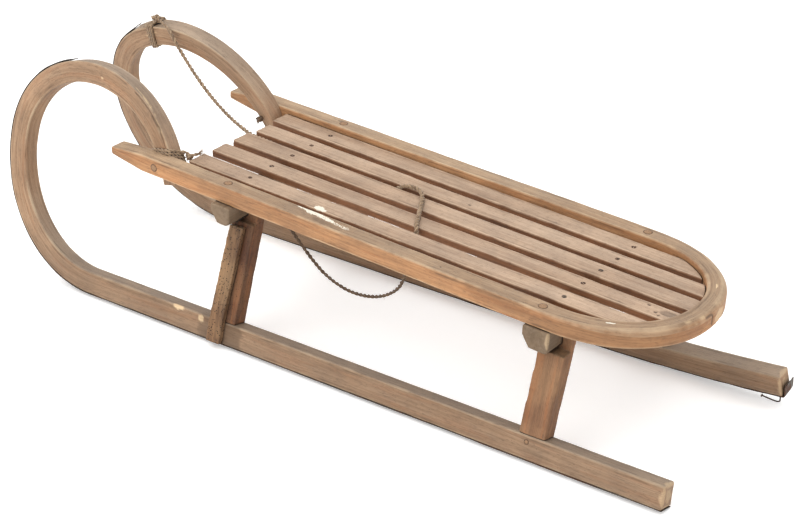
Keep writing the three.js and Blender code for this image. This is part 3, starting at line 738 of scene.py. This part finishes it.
def make_rail(marks):
    outer, inner = np.stack(rail_line(0), 1), np.stack(rail_line(RAIL_THICKNESS), 1)
    middle = (outer + inner) / 2
    along = distances(middle)
    thickness = np.linalg.norm(outer - inner, axis=1)
    outward = (outer - inner) / thickness[:, None]

    def at(s, values):
        return np.interp(s, along, values)

    def taper(s):
        return np.clip((at(s, middle[:, 0]) - RAIL_FRONT + TIP_TAPER) / TIP_TAPER, 0, 1)

    def depth(s):
        return RAIL_HEIGHT + (TIP_HEIGHT - RAIL_HEIGHT) * taper(s)

    def path(s):
        height = -depth(s) / 2 - TIP_DROOP * taper(s)
        centre = np.stack([at(s, middle[:, 0]), at(s, middle[:, 1]), height], 1)
        across = np.stack([at(s, outward[:, 0]), at(s, outward[:, 1]), np.zeros_like(s)], 1)
        return centre, across, [0, 0, 1]

    def round_over(crisp, soft):
        """An edge radius that is crisp along the rail's sides and worn soft round its rear bend."""
        def radius(s):
            behind = np.clip(1 - np.abs(s - along[-1] / 2) / SOFT_REACH, 0, 1)
            return (crisp + (soft - crisp) * np.clip(behind * 1.6, 0, 1) ** 1.5) * MM
        return radius

    radii = [round_over(1.8, 9), round_over(1.8, 4), 2 * MM, 2.2 * MM]
    bar = sweep(path, along[-1], lambda s: at(s, thickness), depth, radii, 4 * MM)
    bar_object("seat_rail_bar", bar, SEAT, RAIL_WOOD, 12, "seat_rail", "rail_wood", wobble=0.5, marks=marks)


make_rail([
    *scar([(1708, -12, 13.5), (1690, -10, 14)], 3.2, 0.2, pale=0.7),
    *scar([(1688, -9, 14), (1668, -8, 14), (1650, -5, 14)], 5, 0.2, pale=0.72),
    *scar([(1650, -5, 14), (1632, -2, 14), (1618, -1, 14)], 4, 0.2, pale=0.52),
    dent((1655, 5, 14), (22, 6, 4), 0.2, dirt=0.3), dent((1630, 7, 14), (14, 5, 4), 0.2, dirt=0.25),
    dent((966, -1, 14), (7, 1.6, 2), 0.6, fresh=1), dent((1183, -4, 14), (8, 2, 2), 0.5, pale=0.8),
    dent((1031, 14.5, 0), (2.2, 4, 9), 1.4, dirt=0.9), dent((1040, 13, 8), (8, 3, 2), 1, dirt=0.7),
    dent((1009, 15, -4), (17, 5, 11), 1.6, fresh=0.55), dent((1052, 11, 10), (6, 3, 3), 0.4, fresh=0.5),
    dent((1066, 12, 7), (5, 3, 2), 0.4, fresh=0.45), dent((1078, 9, 12), (7, 2, 2), 0.4, fresh=0.4),
    dent((1170, 15, -2), (150, 6, 16), 0, dirt=0.26), dent((1350, 15, 4), (60, 6, 14), 0, dirt=0.16),
    dent((1448, 2, 14), (2, 2, 3), 1, dirt=0.9), dent((220, 4, 14), (9, 3, 2), 0.7, dirt=0.5),
    *scar([(1275, 8, 13), (1300, 9, 13), (1340, 9, 12.5)], 1.2, 0.5, dirt=0.5),
    *scar([(1660, 14, -13), (1560, 14, -13.2), (1470, 14, -13)], 1.2, 0.4, fresh=0.5),
])

# ---- slats

def slat_end(y):
    """Where a slat ends just inside the rail's rear bend, at a distance y from the middle plane."""
    x, inside_y = rail_line(RAIL_THICKNESS + 1.2 * MM)
    bend = x < RAIL_BEND + 1 * MM
    return np.interp(y, inside_y[bend], x[bend])


SLAT_CURVE_REACH = 90 * MM  # how far from its rear end a slat's cross-lines follow the rail's bend
SAW_REACH, SAW_DEPTH = 6 * MM, 0.9 * MM  # roughness of the sawn front ends


def make_slat(index, near, far, front, marks):
    def spread(y, x):
        return y * (1 + SLAT_FAN * x / SLAT_FAN_X)

    near, far, front = near * MM, far * MM, front * MM
    middle = (near + far) / 2
    rear = slat_end(spread(middle, RAIL_REAR))
    length = front - rear

    def path(s):
        x = rear + s
        centre = np.stack([x, spread(middle, x), np.full_like(s, SLAT_TOP - SLAT_THICKNESS / 2)], 1)
        return centre, [0, 1, 0], [0, 0, 1]

    bar = sweep(path, length, lambda s: spread(near - far, rear + s), SLAT_THICKNESS,
                [1.6 * MM] * 4, 1.5 * MM, flat_steps=(16, 5))
    co = bar["co"]
    place = bar["grain"][..., 0]
    rear_share = np.clip(1 - place / SLAT_CURVE_REACH, 0, 1) ** 2
    co[..., 0] += rear_share * (slat_end(co[..., 1]) - rear)
    front_share = np.clip(1 - (length - place) / SAW_REACH, 0, 1)
    ragged = value_noise(co.reshape(-1, 3) * np.array([0, 1 / (4 * MM), 1 / (3 * MM)]), index)
    co[..., 0] += front_share * SAW_DEPTH * ragged.reshape(place.shape)
    bar_object(f"slat_{index}_board", bar, SEAT, SLAT_WOOD, 40 + index, f"slat_{index}", "slat_wood",
               wobble=0.4, rough=0.12, marks=marks)


SLAT_MARKS = {
    1: [dent((535, 11, 6), (10, 6, 4), 0, pale=1), dent((526, 13, 6), (7, 4, 4), 0, pale=0.9)],
    2: [dent((14, -3, 6), (15, 8, 3), 1.6, dirt=0.45), dent((30, 4, 6), (3, 3, 3), 1, dirt=0.8),
        dent((48, -8, 6), (2.5, 2.5, 3), 1, dirt=0.8), dent((22, 9, 6), (2.5, 2.5, 3), 1, dirt=0.8)],
    4: [dent((395, 3, 6), (3, 2, 3), 0.8, dirt=0.7)],
}
for index, (near, far, front) in enumerate(SLATS, 1):
    make_slat(index, near, far, front, SLAT_MARKS.get(index, []))

# ---- bolsters, legs and splint

remeshed("front_bolster_beam", "front_bolster", SEAT, BOLSTER_WOOD, 51, "bolster_wood", along=1)
remeshed("rear_bolster_beam", "rear_bolster", SEAT, BOLSTER_WOOD, 52, "bolster_wood", along=1, marks=[
    dent((156, -40, -299), (5, 14, 5), 0.8, fresh=0.4),
    dent((138, -48, -299), (16, 14, 5), 0.4, dirt=0.25)])
for side, label in LABELS.items():
    leaning = side_frame(side) @ Matrix.Rotation(side * SPLAY, 4, "X")
    for end, material in (("front", FRONT_LEG_WOOD), ("rear", REAR_LEG_WOOD)):
        node = f"{end}_{label}_leg"
        remeshed(f"{node}_post", node, leaning, material, 60 + side + len(end), "leg_wood",
                 wobble=0.6, rough=0.3)
remeshed("front_left_leg_patch", "front_left_leg_splint", side_frame(LEFT), SPLINT_WOOD, 71, "splint_wood",
         voxel=1.2 * MM, smoothing=3, wobble=0.6, rough=0.45)

# ---- plugs, pegs, screws and nails

WOODEN = ("wood", PLUG_WOOD, "peg_wood")
METAL = ("steel", SCREW_STEEL, "fastener_steel")
PROBE_HEIGHT = 60 * MM


def lathe(profile, seed):
    """The points and faces of a slightly uneven turned solid round Z. Its profile, of radius and
    height in mm, starts and ends on the axis."""
    segments, bump = 28, 0.03
    profile = np.array(profile) * MM
    rows = profile[1:-1]
    angle = np.arange(segments) * 2 * pi / segments
    ring = np.stack([np.cos(angle), np.sin(angle)], 1)
    heights = np.broadcast_to(rows[:, None, 1:], (len(rows), segments, 1))
    co = np.concatenate([rows[:, None, :1] * ring, heights], 2)
    uneven = 1 + bump * value_noise(co.reshape(-1, 3) / (3 * MM), seed).reshape(co.shape[:2])
    co[..., :2] *= uneven[..., None]
    tips = [[0, 0, profile[0, 1]], [0, 0, profile[-1, 1]]]
    return np.concatenate([co.reshape(-1, 3), tips]), tube_faces(len(rows), segments)


def standing(place, out, turn):
    """The frame of a solid at a place, turned about its own Z, which points out."""
    upright = out.to_track_quat("Z", "Y").to_matrix().to_4x4()
    return Matrix.Translation(place) @ upright @ Matrix.Rotation(turn, 4, "Z")


def pin(node, host, out, profile, kind, seed, proud=0.15 * MM):
    """A plug, peg, screw or nail in place of a CAD node, whose head looks out of a host piece."""
    word, material, slot = kind
    low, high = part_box(node)
    middle = (low + high) / 2
    reach = max(abs(out.dot(corner - middle)) for corner in (low, high))
    above = middle + out * (reach + PROBE_HEIGHT)
    hit, place, _, _ = bpy.data.objects[host].ray_cast(above, -out)
    head = (place if hit else middle + out * reach) + out * proud
    co, faces = lathe(profile, seed)
    obj = mesh_object(f"{node}_{word}", co, faces, material)
    radius = np.hypot(co[:, 0], co[:, 1])
    attribute(obj, "grain", co + np.array([seed * GOLDEN % 1, 0, 0]))
    attribute(obj, "edge", np.clip((radius - radius.max() + 1.9 * MM) / (0.6 * MM), 0, 1))
    obj.data.transform(standing(head, out, seed * 2.4))
    return stand_in(obj, node)


def plug_profile(r, length):
    """A plug with a swollen rim round its domed end."""
    return [(0, -length), (r * 0.9, -length), (r, 1 - length), (r, -1), (r + 0.7, -0.6), (r + 0.6, 0),
            (r - 0.1, 0.05), (r - 0.8, 0.1), (r - 1.2, 0.3), (r * 0.25, 0.3), (0, 0.3)]


def screw_profile(head, shank, length):
    threads = []
    for k in range(8):
        z = -length * (0.88 - 0.075 * k)
        threads += [(shank * 0.72, z), (shank, z + 0.5), (shank * 0.72, z + 1)]
    return [(0, -length), (shank * 0.3, -length * 0.97)] + threads + [
        (shank, -3.4), (shank, -2.6), (head * 0.94, -0.5), (head, -0.15), (head * 0.96, 0.1),
        (head * 0.6, 0.3), (head * 0.25, 0.35), (0, 0.35)]


def cut_slot(screw, out, head, angle):
    """Cuts the driver's slot across a screw's head."""
    half = np.array([head * 1.2, 0.45, 0.75]) * MM
    corners = np.array([[x, y, z] for z in (-1, 1) for y in (-1, 1) for x in (-1, 1)]) * half
    faces = [(0, 2, 3, 1), (4, 5, 7, 6), (0, 1, 5, 4), (2, 6, 7, 3), (0, 4, 6, 2), (1, 3, 7, 5)]
    cutter = mesh_object("slot_cutter", corners, faces, SCREW_STEEL, smooth=False)
    top = max((v.co for v in screw.data.vertices), key=lambda co: co.dot(out))
    centre = Vector(np.mean([v.co for v in screw.data.vertices], axis=0))
    cutter.data.transform(standing(centre + out * out.dot(top - centre), out, angle))
    cut = screw.modifiers.new("slot", "BOOLEAN")
    cut.object = cutter
    cut.operation = "DIFFERENCE"
    mesh = modified(screw)
    screw.modifiers.clear()
    screw.data = mesh
    bpy.data.objects.remove(cutter)


seat_up = direction(SEAT, 0, 0, 1)
for end in ("front", "rear"):
    for index in range(1, 6):
        seed = index + 5 * len(end)
        screw = pin(f"{end}_slat_screw_{index}", f"slat_{index}_board", seat_up,
                    screw_profile(**SLAT_SCREW), METAL, seed, proud=-0.1 * MM)
        cut_slot(screw, seat_up, SLAT_SCREW["head"], seed * 1.9)
    for side, label in LABELS.items():
        pin(f"{end}_{label}_rail_plug", "seat_rail_bar", seat_up, plug_profile(*RAIL_PLUG), WOODEN,
            11 + side + len(end))
        pin(f"{end}_{label}_leg_peg", f"{label}_runner_bar", direction(side_frame(side), 0, side, 0),
            plug_profile(*LEG_PEG), WOODEN, 21 + side + len(end))

for side, label in LABELS.items():
    pin(f"{label}_horn_plug", "seat_rail_bar", Vector((0, side, 0)), plug_profile(*HORN_PLUG), WOODEN,
        31 + side)
    for index in range(1, 5):
        pin(f"{label}_shoe_nail_{index}", f"{label}_shoe_strip", direction(side_frame(side), 0, 0, -1),
            SHOE_NAIL, METAL, 41 + index + side)

# ---- twine

def frames_along(co):
    """Two directions square to a curve at each of its points, turning as little as they can."""
    tangent = np.gradient(co, axis=0)
    tangent /= np.linalg.norm(tangent, axis=1)[:, None]
    normal = np.empty_like(tangent)
    last = np.array([0.36, 0.48, 0.8])
    for i, t in enumerate(tangent):
        last = last - t * (last @ t)
        last = last / np.linalg.norm(last)
        normal[i] = last
    return normal, np.cross(tangent, normal)


def tube(centre, radius, sides=8, shift=0.0):
    """Rings of points round a curve, and their grain coordinates."""
    n1, n2 = frames_along(centre)
    angle = np.arange(sides) * 2 * pi / sides
    a, u = np.cos(angle), np.sin(angle)
    radius = np.broadcast_to(radius, len(centre))[:, None]
    co = centre[:, None] + (radius * a)[..., None] * n1[:, None] + (radius * u)[..., None] * n2[:, None]
    along = np.broadcast_to(distances(centre)[:, None] + shift, co.shape[:2])
    return co, np.stack([along, radius * a, radius * u], -1)


def strands(points, seed, radius=STRAND_RADIUS):
    """Two strands twisted round each other along a route."""
    centre = spline(points)
    n1, n2 = frames_along(centre)
    s = distances(centre)
    flat = np.zeros_like(s)
    loose = 1 + 0.14 * value_noise(np.stack([s / (16 * MM), flat, flat], 1), seed)
    parts = []
    for strand in range(2):
        turn = 2 * pi * s / TWIST_PITCH + strand * pi + seed
        away = np.cos(turn)[:, None] * n1 + np.sin(turn)[:, None] * n2
        plump = 1 + 0.12 * value_noise(np.stack([s / (7 * MM), flat + strand, flat], 1), seed + 5)
        middle = centre + away * (0.92 * radius * loose)[:, None]
        parts.append(tube(middle, radius * plump, 9, seed + strand))
    return parts


def laid(routes, seed):
    return [part for k, route in enumerate(routes) for part in strands(route, seed + k)]


def stray_fibres(points, seed, spacing=7 * MM, length=6 * MM):
    """Short fibres that stand away from the twine."""
    rng = np.random.default_rng(seed)
    centre = spline(points, 2 * MM)
    n1, n2 = frames_along(centre)
    parts = []
    for _ in range(max(2, int(distances(centre)[-1] / spacing))):
        i = rng.integers(1, len(centre) - 1)
        turn = rng.uniform(0, 2 * pi)
        out = cos(turn) * n1[i] + sin(turn) * n2[i]
        ahead = centre[i + 1] - centre[i - 1]
        ahead /= np.linalg.norm(ahead)
        reach = length * rng.uniform(0.4, 1.0)
        root = centre[i] + out * STRAND_RADIUS * 1.4
        route = [root, root + (0.35 * out + 0.5 * ahead) * reach, root + (0.9 * out + 0.8 * ahead) * reach]
        parts.append(tube(spline(route, 1 * MM), 0.11 * MM, 4, seed))
    return parts


def frayed(start, heading, length, count, seed):
    """The loose fibres at a cut end."""
    rng = np.random.default_rng(seed)
    parts = []
    for _ in range(count):
        way = np.array(heading) + rng.normal(0, 0.34, 3)
        reach = length * rng.uniform(0.5, 1.1)
        bow = rng.normal(0, 0.12, 3) * reach
        root = start + rng.normal(0, 0.5 * MM, 3)
        route = [root, root + way * reach * 0.5 + bow, root + way * reach]
        centre = spline(route, 1 * MM)
        parts.append(tube(centre, np.linspace(0.34, 0.12, len(centre)) * MM, 5, seed))
    return parts


def knot_route(centre, radii, turn=0.0):
    """The route of a knot that is drawn tight."""
    t = np.linspace(0, 2 * pi, 49) + turn
    ring = 2 + np.cos(3 * t)
    loops = np.stack([ring * np.cos(2 * t), ring * np.sin(2 * t), 1.9 * np.sin(3 * t)], 1) / 3
    return centre + loops * (np.array(radii) * MM - ROPE_RADIUS * 0.9)


def tubes_piece(name, node, parts, material, body="sled"):
    """One mesh of closed tubes that stands for a CAD node."""
    co, grain, faces = [], [], []
    start = 0
    for tube_co, tube_grain in parts:
        co.append(closed(tube_co))
        grain.append(closed(tube_grain))
        faces += tube_faces(*tube_co.shape[:2], start)
        start += len(co[-1])
    obj = mesh_object(name, np.concatenate(co), faces, material)
    attribute(obj, "grain", np.concatenate(grain))
    stand_in(obj, node, body)


def wraps(side, heading, turns, pitch, outward_tilt=0.0, inward_tilt=0.0):
    """Turns of twine round a horn's tail. They start and end on its convex side. The tilts are how
    many mm they lie further along the horn on its outward and inward faces."""
    line, length = runner_line(side)
    middle = place_at(line, length, radians(heading))
    angle = np.linspace(0, 2 * pi * turns, 20 * turns + 1)
    wave = np.stack([-np.cos(angle), np.sin(angle)])
    inward, outward = np.abs(wave) ** 0.25 * np.sign(wave)
    along = pitch * (angle / (2 * pi) - turns / 2) + outward_tilt * outward + inward_tilt * inward
    x, z, turned = line(middle + along * MM)
    slack = ROPE_RADIUS * 1.05
    half = bar_depth(turned) / 2
    reach = half + (half + slack) * inward
    co = np.stack([x - reach * np.sin(turned), (RUNNER_WIDTH / 2 + slack) * outward,
                   z + reach * np.cos(turned)], 1)
    return moved(side_frame(side), co)


def on_horn(*offset):
    """A point at an offset in mm from the right horn's convex side, at its lashing."""
    line, length = runner_line(RIGHT)
    x, z, _ = line(place_at(line, length, radians(163)))
    return moved(side_frame(RIGHT), np.array([x, 0, z]) + np.array(offset) * MM)


def over_ground(*points):
    return moved(GROUND_ORIGIN, np.array(points) * MM)


def over_seat(*points):
    return moved(SEAT, np.array(points) * MM)


def right_lashing():
    """Turns and a knot on the top of the right horn. Returns where the hanging span starts."""
    turns = wraps(RIGHT, 163.8, 3, 4.4, inward_tilt=-5)
    knot = on_horn(-14, 3, 13)
    span_start = on_horn(-53, 17.5, 9.8)
    lead = [turns[-1], on_horn(-6, 0, 8), knot]
    away = [knot, on_horn(-25, 6, 14.5), on_horn(-40, 12, 13), span_start]
    parts = laid([turns, lead, knot_route(knot, (10, 8, 8)), away], 3)
    parts += stray_fibres(turns, 5) + frayed(knot, (0.4, 0.3, 0.8), 9 * MM, 14, 6)
    parts += frayed(on_horn(0, 8, 3), (0.85, 0.45, -0.25), 26 * MM, 12, 7)
    tubes_piece("right_horn_lashing_twine", "right_horn_lashing", parts, PALE_CORD)
    return span_start


def left_lashing():
    """Turns and a frayed knot at the foot of the left horn's tail."""
    turns = wraps(LEFT, 242.5, 3, 4.7, outward_tilt=-3, inward_tilt=-7)
    lead, knot, after, end = over_ground((397, 100, 262), (393, 99.5, 256), (387, 97, 260), (379, 95, 263))
    parts = laid([turns, [turns[0], lead, knot], knot_route(knot, (6, 6, 6), 0.5), [knot, after, end]], 13)
    parts += stray_fibres(turns, 15) + frayed(end, (-0.7, -0.5, 0.35), 12 * MM, 40, 16)
    tubes_piece("left_horn_lashing_twine", "left_horn_lashing", parts, PALE_CORD)


def tail_knot():
    """What is left of another knot, on the right horn's tail."""
    route = knot_route(moved(side_frame(RIGHT), np.array([420, 19.2, 250]) * MM), (6, 4.5, 6), 1.1)
    parts = strands(route, 23) + frayed(route[20], (-0.2, 0.8, -0.5), 8 * MM, 10, 24)
    tubes_piece("right_tail_knot_twine", "right_tail_knot", parts, DARK_CORD)


span_start = right_lashing()
left_lashing()
tail_knot()

SPAN_SAG = 22 * MM
SEAT_RUN = over_seat(
    (378, -34, -14.2), (330, -34, -16.5), (285, -34, -17.2), (250, -34, -19), (215, -34, -27),
    (150, -34, -30), (112, -34, -25), (96, -34, -15), (84, -34.2, -5.5), (70, -34, -1.5),
    (56, -33, -1), (45, -27, -2.4), (36, -16, -4.2), (27, -1, -4.8), (12, 25, -4.8),
    (0, 47, -5), (-6, 56, -5.4), (-10, 61.5, -9), (-11, 62.8, -15), (-11, 62.8, -22))
LOOP = over_ground(
    (238, 62, 179), (205, 62, 144), (160, 62, 108), (112, 62, 94), (60, 62, 102), (24, 62, 127),
    (8, 62, 161), (-11, 62, 214))
TAIL_RUN = over_ground(
    (238, 62, 179), (262, 72, 185), (300, 88, 185), (340, 95, 200), (372, 97, 219), (388, 97, 236),
    (391.5, 98, 250))
t = np.linspace(0, 1, 13)[:, None]
SPAN = span_start * (1 - t) + SEAT_RUN[0] * t + np.array([0, 0.1, -1]) * SPAN_SAG * 4 * t * (1 - t)
for node, body, route, seed, thickness, material in (
        ("twine_span", "twine_span", SPAN, 31, 1.15, PALE_CORD),
        ("twine_seat_run", "sled", SEAT_RUN, 41, 1.3, PALE_CORD),
        ("twine_loop", "twine_loop", LOOP, 51, 1, DARK_CORD),
        ("twine_tail_run", "sled", TAIL_RUN, 61, 1, DARK_CORD)):
    parts = strands(route, seed, thickness * STRAND_RADIUS) + stray_fibres(route, seed + 1)
    tubes_piece(f"{node}_cord", node, parts, material, body=body)


def make_bent_nail():
    """A nail through the right shoe's rear end, bent forwards, with its head at the free end."""
    line, _ = runner_line(RIGHT)
    x, z, _ = line(7 * MM)
    under = z - SHOE_THICKNESS
    bends = [(0, 12), (0, -10), (1, -13), (5, -15), (18, -14.5), (30, -13)]
    corners = [(x + ahead * MM, 8 * MM, under + up * MM) for ahead, up in bends]
    route = spline(moved(side_frame(RIGHT), corners), 0.5 * MM)
    radius = np.full(len(route), BENT_NAIL_RADIUS)
    radius[-3:] = 2.4 * MM
    tubes_piece("bent_nail_steel", "bent_nail", [tube(route, radius, 12)], SCREW_STEEL)


make_bent_nail()

# ---- stage, light and camera

FLOOR_GLOW = 0.22  # seen by the camera alone, so that the sled's own shading is unchanged
FLOOR_REACH = 30
LIGHT_TARGET = np.array([0.1, 0, -0.1])
# The camera's view line starts at a point near the origin. Degrees, metres and a lens in mm.
AZIMUTH, ELEVATION, ROLL = radians(216.653), radians(26.98), radians(-0.333)
DISTANCE, SHIFT_RIGHT, SHIFT_UP, LENS = 2.9914, 0.0538, -0.1333, 88.58
CAMERA_ORIGIN = Matrix.Translation((0, 0, 1.55 * MM)) @ GROUND_ORIGIN


def floor():
    g = Graph("pale_floor")
    tone = g.even_noise(g.position(), 3, 3)
    colour = g.mix(tone, linear("fafafa"), linear("fdfdfc"))
    material = g.surface(colour, 0.9, tone, 0.1 * MM, **{
        "Emission Color": linear("ffffff"),
        "Emission Strength": g.times(g.node("LightPath").outputs["Is Camera Ray"], FLOOR_GLOW)})
    level = GROUND - 0.5 * MM
    corners = [(x * FLOOR_REACH, y * FLOOR_REACH, level) for x, y in ((-1, -1), (1, -1), (1, 1), (-1, 1))]
    mesh_object("floor", np.array(corners), [(0, 1, 2, 3)], material, smooth=False)


def area_light(name, size, place):
    data = bpy.data.lights.new(name, "AREA")
    data.energy, data.size, data.color = 34, size, (1.0, 0.985, 0.965)
    lamp = new_object(name, data)
    lamp.location = place
    lamp.rotation_euler = Vector(LIGHT_TARGET - place).to_track_quat("-Z", "Y").to_euler()


def studio_world():
    world = bpy.data.worlds.new("studio")
    world.use_nodes = True
    background = world.node_tree.nodes["Background"].inputs
    background["Color"].default_value = (1, 1, 1, 1)
    background["Strength"].default_value = 1.15
    bpy.context.scene.world = world
    bpy.context.scene.view_settings.view_transform = "Standard"


def camera():
    data = bpy.data.cameras.new("camera")
    data.lens, data.sensor_width, data.clip_end = LENS, 36, 100
    cam = new_object("camera", data)
    turn = Matrix.Rotation(AZIMUTH, 4, "Z") @ Matrix.Rotation(pi / 2 - ELEVATION, 4, "X")
    back = Matrix.Rotation(ROLL, 4, "Z") @ Matrix.Translation((-SHIFT_RIGHT, -SHIFT_UP, DISTANCE))
    cam.matrix_world = CAMERA_ORIGIN @ turn @ back
    bpy.context.scene.camera = cam


floor()
area_light("overhead", 4.0, (0.3, 0.3, 2.6))
area_light("front_left", 2.5, (0.9, 2.8, 1.7))
studio_world()
camera()
